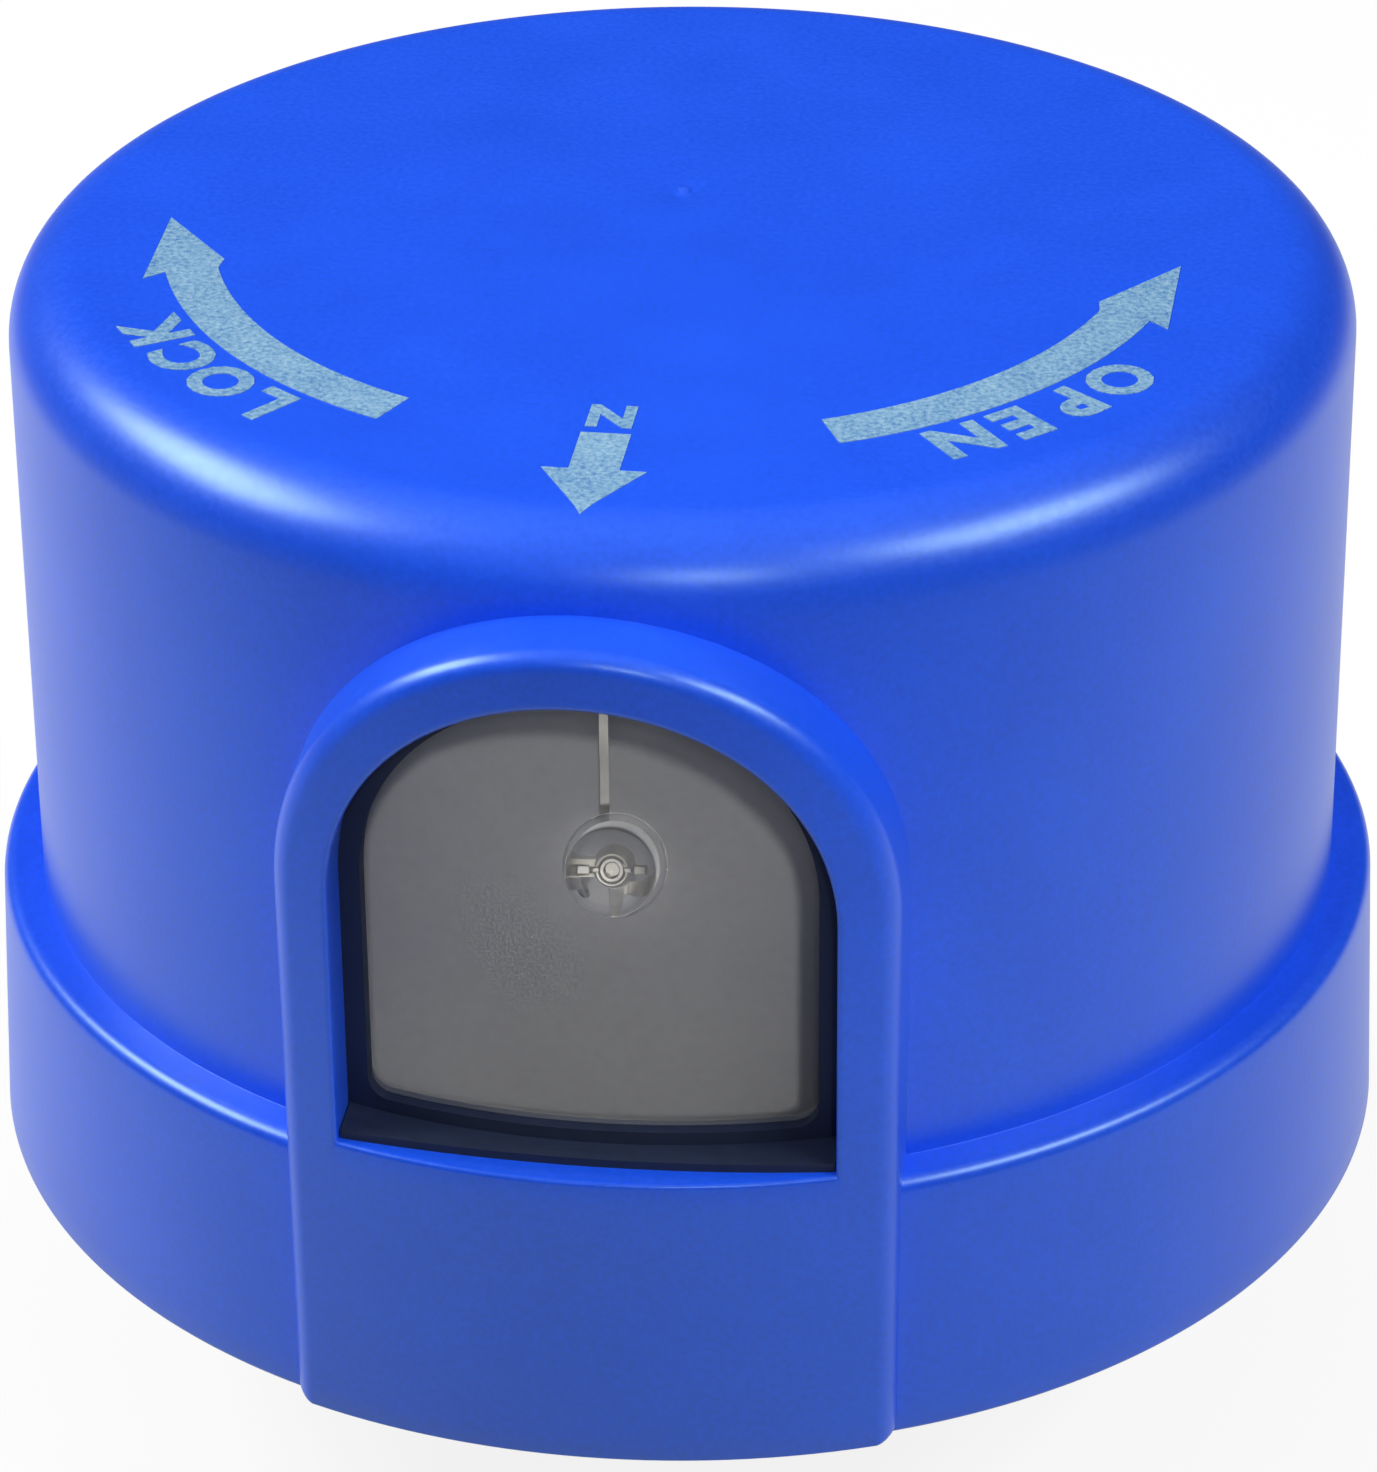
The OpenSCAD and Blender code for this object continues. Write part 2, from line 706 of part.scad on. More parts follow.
module sensor_leads() {
    half = lead_pitch / 2;
    front = sensor_lead_at[0];
    rear = sensor_lead_at[1];
    top_y = -cup_reach + cup_depth;
    color(tinned) {
        lead_up(front, front_bend[2], sensor_turn);
        lead_up(rear, rear_bend[2]);
        translate(rear_bend - lead_w / 2 * [1, 1, 1]) cube([lead_w, rear[1] - rear_bend[1] + lead_w, lead_w]);
        in_sensor_frame() {
            for (s = [-1, 1])
                translate([s * half - lead_w / 2, top_y, -lead_w / 2])
                    cube([lead_w, bend_reach + lead_w / 2 - top_y, lead_w]);
            translate([-half - lead_w / 2, bend_reach - lead_w / 2, -lead_w / 2])
                cube([lead_jog + lead_w, lead_w, lead_w]);
            translate([-half - lead_w / 2, top_y, -post_wide / 2])
                cube([half + lead_w / 2 - cup_d / 4, post_wide, post_wide]);
            translate([cup_d, top_y, -post_wide / 2])
                cube([half + lead_w / 2 - cup_d, post_wide, post_wide]);
            translate([0, -cup_reach, 0]) rotate([-90, 0, 0]) difference() {
                cylinder(d = cup_d, h = 2 * cup_depth);
                translate([0, 0, -eps]) cylinder(d1 = 1.4 * cup_d, d2 = 0.4 * cup_d, h = cup_depth + eps);
            }
        }
    }
}

module photo_sensor() {
    color([0.9, 0.92, 0.95, 0.35]) difference() {
        in_sensor_frame() {
            translate([0, -dome_l, 0]) sphere(d = sensor_d);
            translate([0, -dome_l, 0]) rotate([-90, 0, 0]) cylinder(d = sensor_d, h = dome_l);
            translate([0, -flange_t, 0]) rotate([-90, 0, 0]) cylinder(d = flange_d, h = flange_t);
        }
        sensor_leads();
    }
}

// The circuit board and the parts that hang from it

module circuit_board() {
    color([0.1, 0.32, 0.16]) difference() {
        translate([0, 0, board_z]) cylinder(d = board_d, h = board_t);
        for (a = post_angles)
            rotate([0, 0, a]) translate([post_reach, 0, board_z - eps])
                cylinder(d = screw_hole_d, h = board_t + 2 * eps);
        for (p = joint_at)
            translate([p[0], p[1], board_z - eps])
                cylinder(d = lead_d + 2 * lead_gap, h = board_t + 2 * eps);
    }
}

module board_screws() {
    color(tinned) for (a = post_angles)
        rotate([0, 0, a]) translate([post_reach, 0, board_top_z]) difference() {
            union() {
                cylinder(d1 = screw_head_d, d2 = screw_head_d * 0.7, h = screw_head_h);
                translate([0, 0, 1 - board_t - pilot_l]) cylinder(d = screw_d, h = board_t + pilot_l);
            }
            for (turn = [0, 90])
                rotate([0, 0, turn]) translate([-0.3, -screw_head_d * 0.25, screw_head_h / 2])
                    cube([0.6, screw_head_d * 0.5, screw_head_h]);
        }
}

module relay() {
    z = board_z - standoff - relay_size[2];
    color([0.1, 0.1, 0.11]) block(relay_size, relay_at, z);
}

module relay_pins() color(tinned) leads(relay_pin_at, board_z - standoff);

module film_capacitor() {
    color([0.75, 0.6, 0.12]) block(film_size, film_at, board_z - standoff - film_size[2]);
}

module film_capacitor_leads() color(tinned) leads(film_lead_at, board_z - standoff);

module varistor() {
    z = board_z - tall_drop - varistor_d / 2;
    color([0.12, 0.2, 0.5]) translate([varistor_at[0], varistor_at[1] + varistor_t / 2, z])
        rotate([90, 0, 0]) cylinder(d = varistor_d, h = varistor_t);
}

module varistor_leads() {
    color(tinned) difference() {
        leads(varistor_lead_at, board_z - varistor_lead_l);
        varistor();
    }
}

module electrolytic_capacitor() {
    color([0.08, 0.08, 0.1]) translate([can_at[0], can_at[1], board_z - standoff - can_h])
        cylinder(d = can_d, h = can_h);
}

module electrolytic_leads() color(tinned) leads(can_lead_at, board_z - standoff, small_lead_d);

module power_resistor() {
    color([0.55, 0.6, 0.65]) axial_body([power_at], power_l, power_d, board_z - tall_drop - power_d / 2);
}

module power_resistor_leads() {
    color(tinned) axial_leads([power_at], power_l, power_pitch, board_z - tall_drop - power_d / 2, lead_d);
}

module diodes() color(black) axial_body(diode_at, diode_l, diode_d, board_z - small_drop - diode_d / 2);

module diode_leads() {
    color(tinned) axial_leads(diode_at, diode_l, diode_pitch, board_z - small_drop - diode_d / 2, small_lead_d);
}

module signal_resistors() {
    color([0.8, 0.66, 0.46]) axial_body(signal_at, signal_l, signal_d, board_z - small_drop - signal_d / 2);
}

module signal_resistor_leads() {
    color(tinned) axial_leads(signal_at, signal_l, signal_pitch, board_z - small_drop - signal_d / 2, small_lead_d);
}

module switch_transistor() {
    z = board_z - transistor_drop - transistor_h;
    color(black) translate([transistor_at[0], transistor_at[1], z]) difference() {
        cylinder(d = transistor_d, h = transistor_h);
        translate([-transistor_d / 2, -transistor_d, -eps])
            cube([transistor_d, transistor_d * 0.72, transistor_h + 2 * eps]);
    }
}

module transistor_leads() color(tinned) leads(transistor_lead_at, board_z - transistor_drop, small_lead_d);

module solder_joints() {
    color(tinned) for (p = joint_at)
        translate([p[0], p[1], board_top_z]) cylinder(d1 = joint_d, d2 = joint_tip_d, h = joint_h);
}

// The wires from the blades to the board

function wire_foot(angle) = wire_r * [cos(angle), sin(angle)];

module line_wire() color([0.08, 0.08, 0.08]) wire(wire_foot(line_angle), line_wire_end);
module load_wire() color([0.7, 0.08, 0.06]) wire(wire_foot(load_angle), load_wire_end);
module neutral_wire() color([0.9, 0.9, 0.88]) wire(wire_foot(neutral_angle), neutral_wire_end);

cover();
window_seal();
window_lens();
base();
gasket();
line_blade();
load_blade();
neutral_blade();
blade_rivets();
light_shield();
circuit_board();
board_screws();
photo_sensor();
sensor_leads();
relay();
relay_pins();
film_capacitor();
film_capacitor_leads();
varistor();
varistor_leads();
electrolytic_capacitor();
electrolytic_leads();
power_resistor();
power_resistor_leads();
diodes();
diode_leads();
signal_resistors();
signal_resistor_leads();
switch_transistor();
transistor_leads();
line_wire();
load_wire();
neutral_wire();
solder_joints();
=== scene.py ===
"""Twist-lock photocell switch: looks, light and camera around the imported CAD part.

Lengths are written in millimetres in the part's own frame and turned into metres where a mesh is made.
The light and the floor's shading are in metres.
"""

import json
import math

import bmesh
import bpy
import numpy as np
from mathutils import Matrix, Vector


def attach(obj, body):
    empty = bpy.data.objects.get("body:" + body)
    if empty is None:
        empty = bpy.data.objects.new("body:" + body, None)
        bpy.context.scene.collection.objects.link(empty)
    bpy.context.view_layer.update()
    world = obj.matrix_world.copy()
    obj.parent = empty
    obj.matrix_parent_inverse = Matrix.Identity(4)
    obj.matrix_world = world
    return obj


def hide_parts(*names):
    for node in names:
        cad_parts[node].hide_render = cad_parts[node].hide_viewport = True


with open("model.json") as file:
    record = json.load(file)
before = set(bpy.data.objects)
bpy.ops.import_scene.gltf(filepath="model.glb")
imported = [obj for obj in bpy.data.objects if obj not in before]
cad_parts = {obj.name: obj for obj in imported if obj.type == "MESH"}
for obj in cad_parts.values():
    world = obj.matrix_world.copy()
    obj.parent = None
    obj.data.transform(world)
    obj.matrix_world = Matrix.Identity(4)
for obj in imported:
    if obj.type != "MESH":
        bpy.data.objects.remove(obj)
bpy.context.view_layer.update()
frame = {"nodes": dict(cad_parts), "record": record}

MM = 0.001

# Cover, as in the part's source
EDGE_Z, LEDGE_Z, TOP_Z = 2.5, 18.8, 57.5
BODY_TOP_R, BODY_FOOT_R, TOP_ROUND = 38.7, 38.9, 4.5
SKIRT_R, SKIRT_TOP_R, SKIRT_ROUND, EDGE_ROUND = 42.0, 41.3, 0.9, 0.3
SKIRT_IN_R, BODY_IN_R, WALL = 39.3, 36.7, 2.0
LEDGE_FILLET = 0.03
AXIS_R = 0.02  # the turned shell starts this far from its axis

# The mark of the moulding gate: a small pip in a shallow dip, inside a field of finer mesh
GATE_AT, GATE_FIELD_R = (-0.8, 6.4), 12
GATE_PIP_H, GATE_PIP_R, GATE_DIP_H, GATE_DIP_R = 0.3, 0.42, 0.16, 1.5

# Window frame
ARCH_Z, SILL_Z = 36.25, 21.0
OPENING_R, FRAME_R, POCKET_R = 13.65, 16.9, 14.9
FRAME_REACH, FRAME_BACK, FRAME_ROUND, FRAME_LIP, FRAME_CORNER = 43.2, 40.0, 1.0, 0.3, 1.0
SHELL_OPEN_R, SHELL_OPEN_Z = 15.6, SILL_Z - 3  # the shell is open behind the frame
SINK_Z, SINK_DEPTH, SINK_HALF_W, SINK_HALF_H = 13, 0.1, 11, 3.2
NEAR = 0.01  # lengths this close count as the same

# Sensor: the middle of its flange's back, its tilt and turn in degrees, its size
SENSOR_AT, SENSOR_TILT, SENSOR_TURN = (-0.05, -28.195, 32.05), 27.0, 6.0
SENSOR_D, SENSOR_L, FLANGE_D, FLANGE_T = 5.0, 8.6, 5.8, 1.0

# The printed marks: a little off the middle of the top, so far above it and so thick
PRINT_AT, PRINT_HIGH, PRINT_T = (-0.5, 0.7), 0.04, 0.06

FLOOR_Z = -14.5

# In metres: where the softboxes face
LAMP_AIM = (0, 0, 0.04)


# Mesh helpers


def place_object(name, data):
    """A new object in the scene."""
    obj = bpy.data.objects.new(name, data)
    bpy.context.scene.collection.objects.link(obj)
    return obj


def mesh_object(name, points, faces, smooth_deg=None):
    """A mesh object from points in millimetres."""
    mesh = bpy.data.meshes.new(name)
    mesh.from_pydata([tuple(c * MM for c in p) for p in points], [], faces)
    mesh.validate()
    mesh.update()
    obj = place_object(name, mesh)
    bm = bmesh.new()
    bm.from_mesh(mesh)
    bmesh.ops.remove_doubles(bm, verts=bm.verts, dist=1e-7)
    bmesh.ops.recalc_face_normals(bm, faces=bm.faces)
    bm.to_mesh(mesh)
    bm.free()
    if smooth_deg is not None:
        mesh.polygons.foreach_set("use_smooth", [True] * len(mesh.polygons))
        mesh.set_sharp_from_angle(angle=math.radians(smooth_deg))
    return obj


def arc(centre, radius, start_deg, end_deg, steps):
    """Points of an arc in a (radius, height) section."""
    return [
        (
            centre[0] + radius * math.cos(math.radians(a)),
            centre[1] + radius * math.sin(math.radians(a)),
        )
        for a in np.linspace(start_deg, end_deg, steps + 1)
    ]


def line(a, b, steps):
    """Points along a straight line, without its first point."""
    return [
        (a[0] + (b[0] - a[0]) * i / steps, a[1] + (b[1] - a[1]) * i / steps)
        for i in range(1, steps + 1)
    ]


# The cover: a turned shell and the window frame that stands out of it


def cover_section():
    """The shell's section from the middle of the top, down the outside and back up the inside."""
    flat_r = BODY_TOP_R - TOP_ROUND
    section = [(AXIS_R, TOP_Z)]
    section += line((0, TOP_Z), (GATE_FIELD_R, TOP_Z), 30)
    section += line((GATE_FIELD_R, TOP_Z), (flat_r - 0.3, TOP_Z), 10)
    section += arc((flat_r, TOP_Z - TOP_ROUND), TOP_ROUND, 90, 0, 18)
    section += line(section[-1], (BODY_FOOT_R, LEDGE_Z + LEDGE_FILLET), 24)
    section += arc((BODY_FOOT_R + LEDGE_FILLET, LEDGE_Z + LEDGE_FILLET), LEDGE_FILLET, 180, 270, 5)[1:]
    section += arc((SKIRT_TOP_R - SKIRT_ROUND, LEDGE_Z - SKIRT_ROUND), SKIRT_ROUND, 90, 2.8, 7)
    section += line(section[-1], (SKIRT_R, EDGE_Z + EDGE_ROUND), 10)
    section += arc((SKIRT_R - EDGE_ROUND, EDGE_Z + EDGE_ROUND), EDGE_ROUND, 0, -90, 4)[1:]
    section += [(SKIRT_IN_R, EDGE_Z), (SKIRT_IN_R, LEDGE_Z - WALL), (BODY_IN_R, LEDGE_Z - WALL)]
    inner = TOP_ROUND - WALL
    section += line((BODY_IN_R, LEDGE_Z - WALL), (BODY_IN_R, TOP_Z - WALL - inner), 12)
    section += arc((BODY_IN_R - inner, TOP_Z - WALL - inner), inner, 0, 90, 6)[1:]
    section += [(AXIS_R, TOP_Z - WALL)]
    return section


def in_window(x, y, z):
    """True where the shell is open behind the window frame."""
    if y > 0 or z < SHELL_OPEN_Z:
        return False
    if z > ARCH_Z:
        return math.hypot(x, z - ARCH_Z) < SHELL_OPEN_R
    return abs(x) < SHELL_OPEN_R


def gate_height(x, y):
    """Height of the gate's mark over the flat top."""
    d = math.hypot(x - GATE_AT[0], y - GATE_AT[1])
    return GATE_PIP_H * math.exp(-((d / GATE_PIP_R) ** 4)) - GATE_DIP_H * math.exp(-((d / GATE_DIP_R) ** 2))


def shell_mesh(turns=288):
    """The turned shell, left open behind the window frame."""
    section = cover_section()
    rows = len(section)
    points, faces = [], []
    for k in range(turns):
        a = 2 * math.pi * k / turns
        for r, z in section:
            x, y = r * math.cos(a), r * math.sin(a)
            on_field = z > TOP_Z - NEAR and r < GATE_FIELD_R
            points.append((x, y, z + gate_height(x, y) if on_field else z))
    for k in range(turns):
        n = (k + 1) % turns
        for i in range(rows - 1):
            quad = (k * rows + i, n * rows + i, n * rows + i + 1, k * rows + i + 1)
            mid = np.mean([points[q] for q in quad], axis=0)
            if not in_window(*mid):
                faces.append(quad)
    return points, faces


def outline(half_w, z_low, corner, arch_steps=72, side_steps=26, corner_steps=6, low_steps=14):
    """The window's outline as a closed loop of (x, z), the same number of points at every size."""
    corner = max(corner, 0.02)
    right = [((half_w - corner) * i / low_steps, z_low) for i in range(low_steps)]
    for a in np.linspace(-90, 0, corner_steps + 1):
        right.append(
            (
                half_w - corner + corner * math.cos(math.radians(a)),
                z_low + corner + corner * math.sin(math.radians(a)),
            )
        )
    for i in range(1, side_steps):
        right.append((half_w, z_low + corner + (ARCH_Z - z_low - corner) * i / side_steps))
    top = [
        (half_w * math.cos(math.radians(a)), ARCH_Z + half_w * math.sin(math.radians(a)))
        for a in np.linspace(0, 180, arch_steps + 1)
    ]
    left = [(-x, z) for x, z in reversed(right[1:])]
    return right + top + left


def frame_rings():
    """The frame's surface as rings of (outline, distance from the axis), from the pocket round to the body."""
    lip = FRAME_LIP

    def inner(out):
        return outline(OPENING_R + out, SILL_Z - out, out)

    def outer(inset):
        low = inset * EDGE_ROUND / FRAME_ROUND
        return outline(FRAME_R - inset, EDGE_Z + low, max(FRAME_CORNER - inset, 0.05))

    rings = [(inner(POCKET_R - OPENING_R), BODY_IN_R), (inner(POCKET_R - OPENING_R), FRAME_BACK)]
    rings += [(inner(0), r) for r in np.linspace(FRAME_BACK, FRAME_REACH - lip, 5)]
    rings += [
        (inner(lip * (1 - math.cos(a))), FRAME_REACH - lip + lip * math.sin(a))
        for a in np.radians([22, 45, 68, 90])
    ]
    start, end = inner(lip), outer(FRAME_ROUND)
    for t in np.linspace(0, 1, 13)[1:]:
        mixed = [((1 - t) * a[0] + t * b[0], (1 - t) * a[1] + t * b[1]) for a, b in zip(start, end)]
        rings.append((mixed, FRAME_REACH))
    rings += [
        (outer(FRAME_ROUND * (1 - math.sin(a))), FRAME_REACH - FRAME_ROUND + FRAME_ROUND * math.cos(a))
        for a in np.radians(np.linspace(0, 90, 11)[1:])
    ]
    rings += [(outer(0), r) for r in np.linspace(FRAME_REACH - FRAME_ROUND, SKIRT_IN_R, 4)[1:]]
    rings += [(outer(0), BODY_IN_R + 0.4)]
    return rings


def sink(x, z):
    """Depth of the faint sink mark in the frame's face under the window."""
    return SINK_DEPTH * math.exp(-((x / SINK_HALF_W) ** 2) - ((z - SINK_Z) / SINK_HALF_H) ** 2)


def frame_mesh():
    """The window frame, with its rings joined one to the next."""
    rings = frame_rings()
    count = len(rings[0][0])
    points, faces = [], []
    for loop, reach in rings:
        for x, z in loop:
            r = max(reach, SKIRT_IN_R) if z < EDGE_Z + 0.25 else reach
            if reach > FRAME_REACH - NEAR:
                r -= sink(x, z)
            points.append((x, -math.sqrt(r * r - x * x), z))
    for i in range(len(rings) - 1):
        for j in range(count):
            n = (j + 1) % count
            faces.append((i * count + j, i * count + n, (i + 1) * count + n, (i + 1) * count + j))
    return points, faces


def make_cover():
    points, faces = shell_mesh()
    more, more_faces = frame_mesh()
    base = len(points)
    faces = faces + [tuple(q + base for q in f) for f in more_faces]
    return mesh_object("cover_moulding", points + more, faces, smooth_deg=32)


# The printed marks on the top


def polar(r, deg):
    """A point of the print, with the angle measured from the window towards +X."""
    return (
        PRINT_AT[0] + r * math.sin(math.radians(deg)),
        PRINT_AT[1] - r * math.cos(math.radians(deg)),
    )


def top_height(x, y):
    """Height of the cover's top at a point, with its rounded edge."""
    over = math.hypot(x, y) - (BODY_TOP_R - TOP_ROUND)
    return TOP_Z if over <= 0 else TOP_Z - TOP_ROUND + math.sqrt(TOP_ROUND**2 - over**2)


def arc_arrow(side):
    """Outline of a turning arrow to the left (-1) or right (1) of the window."""
    stem_in, stem_out = 26.35, 29.35
    head = ((30.7, 70.4), (29.2, 86.5), (25.9, 74))
    sweep = np.linspace(25.2, 71.6, 40) * side
    loop = [polar(stem_out, a) for a in sweep]
    loop += [polar(r, a * side) for r, a in head]
    loop += [polar(stem_in, a) for a in reversed(sweep)]
    return loop


def straight_arrow(r_tail, r_neck, r_tip, half_stem, half_head, steps=8):
    """Outline of an arrow that points out at the window; the points along its head follow the top's edge."""
    right = [(half_stem, r_tail), (half_stem, r_neck)]
    right += [
        (half_head * (1 - i / steps), r_neck + (r_tip - r_neck) * i / steps) for i in range(steps)
    ]
    loop = right + [(0, r_tip)] + [(-x, r) for x, r in reversed(right)]
    return [(PRINT_AT[0] + x, PRINT_AT[1] - r) for x, r in loop]


def make_print(name, loop):
    """A thin printed field on the top with that outline."""
    count = len(loop)
    points = [(x, y, top_height(x, y) + h) for h in (PRINT_HIGH - PRINT_T, PRINT_HIGH) for x, y in loop]
    bm = bmesh.new()
    verts = [bm.verts.new([c * MM for c in p]) for p in points]
    bm.faces.new(verts[count:])
    bm.faces.new(list(reversed(verts[:count])))
    for j in range(count):
        n = (j + 1) % count
        bm.faces.new((verts[j], verts[n], verts[count + n], verts[count + j]))
    bmesh.ops.triangulate(bm, faces=[f for f in bm.faces if len(f.verts) > 4])
    bmesh.ops.recalc_face_normals(bm, faces=bm.faces)
    mesh = bpy.data.meshes.new(name)
    bm.to_mesh(mesh)
    bm.free()
    return place_object(name, mesh)


def letter_points(letter, size):
    """One letter's thin mesh in its own plane: points and faces in millimetres, middled across."""
    curve = bpy.data.curves.new("letter", "FONT")
    curve.body = letter
    curve.size = size
    curve.align_x = "CENTER"
    curve.offset = 0.045 * size
    curve.extrude = PRINT_T / 2
    curve.resolution_u = 4
    text = place_object("letter", curve)
    mesh = bpy.data.meshes.new_from_object(text.evaluated_get(bpy.context.evaluated_depsgraph_get()))
    points = [tuple(v.co) for v in mesh.vertices]
    faces = [tuple(f.vertices) for f in mesh.polygons]
    bpy.data.objects.remove(text)
    bpy.data.curves.remove(curve)
    bpy.data.meshes.remove(mesh)
    return points, faces


def make_word(name, word, r, start, step, size):
    """A word whose letters stand along an arc of the top with their heads to the rim."""
    points, faces = [], []
    for k, letter in enumerate(word):
        a = math.radians(start + step * k)
        out = (math.sin(a), -math.cos(a))
        across = (out[1], -out[0])
        flat, flat_faces = letter_points(letter, size)
        base = len(points)
        for x, y, z in flat:
            px, py = ((r + y) * out[i] + x * across[i] + PRINT_AT[i] for i in (0, 1))
            points.append((px, py, top_height(px, py) + PRINT_HIGH - PRINT_T / 2 + z))
        faces += [tuple(q + base for q in f) for f in flat_faces]
    return mesh_object(name, points, faces)


# The sensor's clear body


def sensor_point(x, y, z):
    """A point of the sensor, whose own -Y runs along its axis, in the part's frame."""
    t, u = math.radians(SENSOR_TILT), math.radians(SENSOR_TURN)
    y, z = y * math.cos(t) + z * math.sin(t), z * math.cos(t) - y * math.sin(t)
    return (
        SENSOR_AT[0] + x * math.cos(u) - y * math.sin(u),
        SENSOR_AT[1] + x * math.sin(u) + y * math.cos(u),
        SENSOR_AT[2] + z,
    )


def make_sensor():
    """The clear body: a dome on a round barrel with a flange."""
    steps, turns, axis_r = 20, 64, 0.004
    r, flange_r, soft = SENSOR_D / 2, FLANGE_D / 2, 0.12
    dome_y = r - SENSOR_L
    section = [
        (max(r * math.sin(a), axis_r), dome_y - r * math.cos(a)) for a in np.linspace(0, math.pi / 2, steps + 1)
    ]
    section += [(r, dome_y + (-FLANGE_T - dome_y) * t) for t in (0.25, 0.5, 0.75, 1.0)]
    section += [(flange_r - soft, -FLANGE_T), (flange_r, soft - FLANGE_T), (flange_r, -soft)]
    section += [(flange_r - soft, 0), (axis_r, 0)]
    rows = len(section)
    points = [
        sensor_point(d * math.cos(a), y, d * math.sin(a))
        for a in np.linspace(0, 2 * math.pi, turns, endpoint=False)
        for d, y in section
    ]
    faces = [
        (k * rows + i, ((k + 1) % turns) * rows + i, ((k + 1) % turns) * rows + i + 1, k * rows + i + 1)
        for k in range(turns)
        for i in range(rows - 1)
    ]
    return mesh_object("sensor_dome", points, faces, smooth_deg=40)


def make_lead_tips():
    """The bright rim of the chip's cup and the flat tips of the leads beside it, inside the sensor's dome."""
    front, back, turns, bevel = -5.32, -5.18, 48, 0.04
    points, faces = [], []
    for a in np.linspace(0, 2 * math.pi, turns, endpoint=False):
        for r, y in ((0.22, back), (0.26, front), (0.35, front), (0.39, back)):
            points.append(sensor_point(r * math.cos(a), y, r * math.sin(a)))
    for k in range(turns):
        for i in range(4):
            n = (k + 1) % turns
            faces.append((k * 4 + i, n * 4 + i, n * 4 + (i + 1) % 4, k * 4 + (i + 1) % 4))
    for x_near, x_far, half in ((0.36, 0.62, 0.09), (0.66, 1.06, 0.15)):
        for side in (-1, 1):
            base = len(points)
            for y, inset in ((back, 0), (front, bevel)):
                for x, z in (
                    (x_near + inset, inset - half),
                    (x_far - inset, inset - half),
                    (x_far - inset, half - inset),
                    (x_near + inset, half - inset),
                ):
                    points.append(sensor_point(side * x, y, z))
            faces += [tuple(base + i for i in quad) for quad in ((3, 2, 1, 0), (4, 5, 6, 7))]
            faces += [tuple(base + i for i in (k, (k + 1) % 4, (k + 1) % 4 + 4, k + 4)) for k in range(4)]
    return mesh_object("sensor_lead_tips", points, faces, smooth_deg=30)


# Materials


def colour_ramp(tree, fac, stops):
    """A colour ramp in a node tree with stops of (place, colour)."""
    made = tree.nodes.new("ShaderNodeValToRGB")
    tree.links.new(fac, made.inputs["Fac"])
    elements = made.color_ramp.elements
    while len(elements) < len(stops):
        elements.new(0.5)
    for element, (place, colour) in zip(elements, stops):
        element.position = place
        element.color = (*colour, 1)
    return made.outputs["Color"]


def grey(level):
    return (level, level, level)


class Nodes:
    """A small builder for one material's node tree."""

    def __init__(self, name):
        self.material = bpy.data.materials.new(name)
        self.material.use_nodes = True
        self.tree = self.material.node_tree
        self.shader = self.tree.nodes["Principled BSDF"]
        self.output = self.tree.nodes["Material Output"]
        self.coords = self.tree.nodes.new("ShaderNodeTexCoord").outputs["Object"]

    def node(self, kind, **inputs):
        made = self.tree.nodes.new(kind)
        for key, value in inputs.items():
            name = key.replace("_", " ")
            if isinstance(value, bpy.types.NodeSocket):
                self.tree.links.new(value, made.inputs[name])
            else:
                made.inputs[name].default_value = value
        return made

    def link(self, source, target):
        self.tree.links.new(source, target)

    def noise(self, per_mm, detail=3.0, rough=0.55):
        scale = per_mm / MM
        made = self.node("ShaderNodeTexNoise", Vector=self.coords, Scale=scale, Detail=detail, Roughness=rough)
        return made.outputs["Fac"]

    def ramp(self, fac, stops):
        return colour_ramp(self.tree, fac, stops)

    def math(self, operation, *values):
        """A math node; each value is a socket or a number."""
        made = self.tree.nodes.new("ShaderNodeMath")
        made.operation = operation
        for target, value in zip(made.inputs, values):
            if isinstance(value, bpy.types.NodeSocket):
                self.link(value, target)
            else:
                target.default_value = value
        return made.outputs[0]

    def mix(self, fac, first, second):
        """A mix of two shaders, by a socket or a number."""
        made = self.node("ShaderNodeMixShader", Fac=fac)
        self.link(first, made.inputs[1])
        self.link(second, made.inputs[2])
        return made.outputs["Shader"]

    def scaled(self, fac, low, high):
        made = self.node("ShaderNodeMapRange", Value=fac)
        made.inputs["To Min"].default_value = low
        made.inputs["To Max"].default_value = high
        return made.outputs["Result"]

    def bump(self, height, strength, depth_mm):
        made = self.node("ShaderNodeBump", Height=height, Strength=strength, Distance=depth_mm * MM)
        self.link(made.outputs["Normal"], self.shader.inputs["Normal"])


def moulded(name, dark, light, rough=(0.35, 0.45), grain=1.6, depth=0.02, strength=0.25, **sockets):
    """Moulded plastic or rubber: a faint mottle, a fine grain and a roughness that varies with it."""
    n = Nodes(name)
    fine = n.noise(grain, detail=2.0)
    mottle = n.math("MULTIPLY_ADD", fine, 0.6, n.scaled(n.noise(0.12), 0, 0.4))
    n.link(n.ramp(mottle, [(0.3, dark), (0.7, light)]), n.shader.inputs["Base Color"])
    n.link(n.scaled(fine, *rough), n.shader.inputs["Roughness"])
    n.bump(fine, strength, depth)
    for key, value in sockets.items():
        n.shader.inputs[key.replace("_", " ")].default_value = value
    return n.material


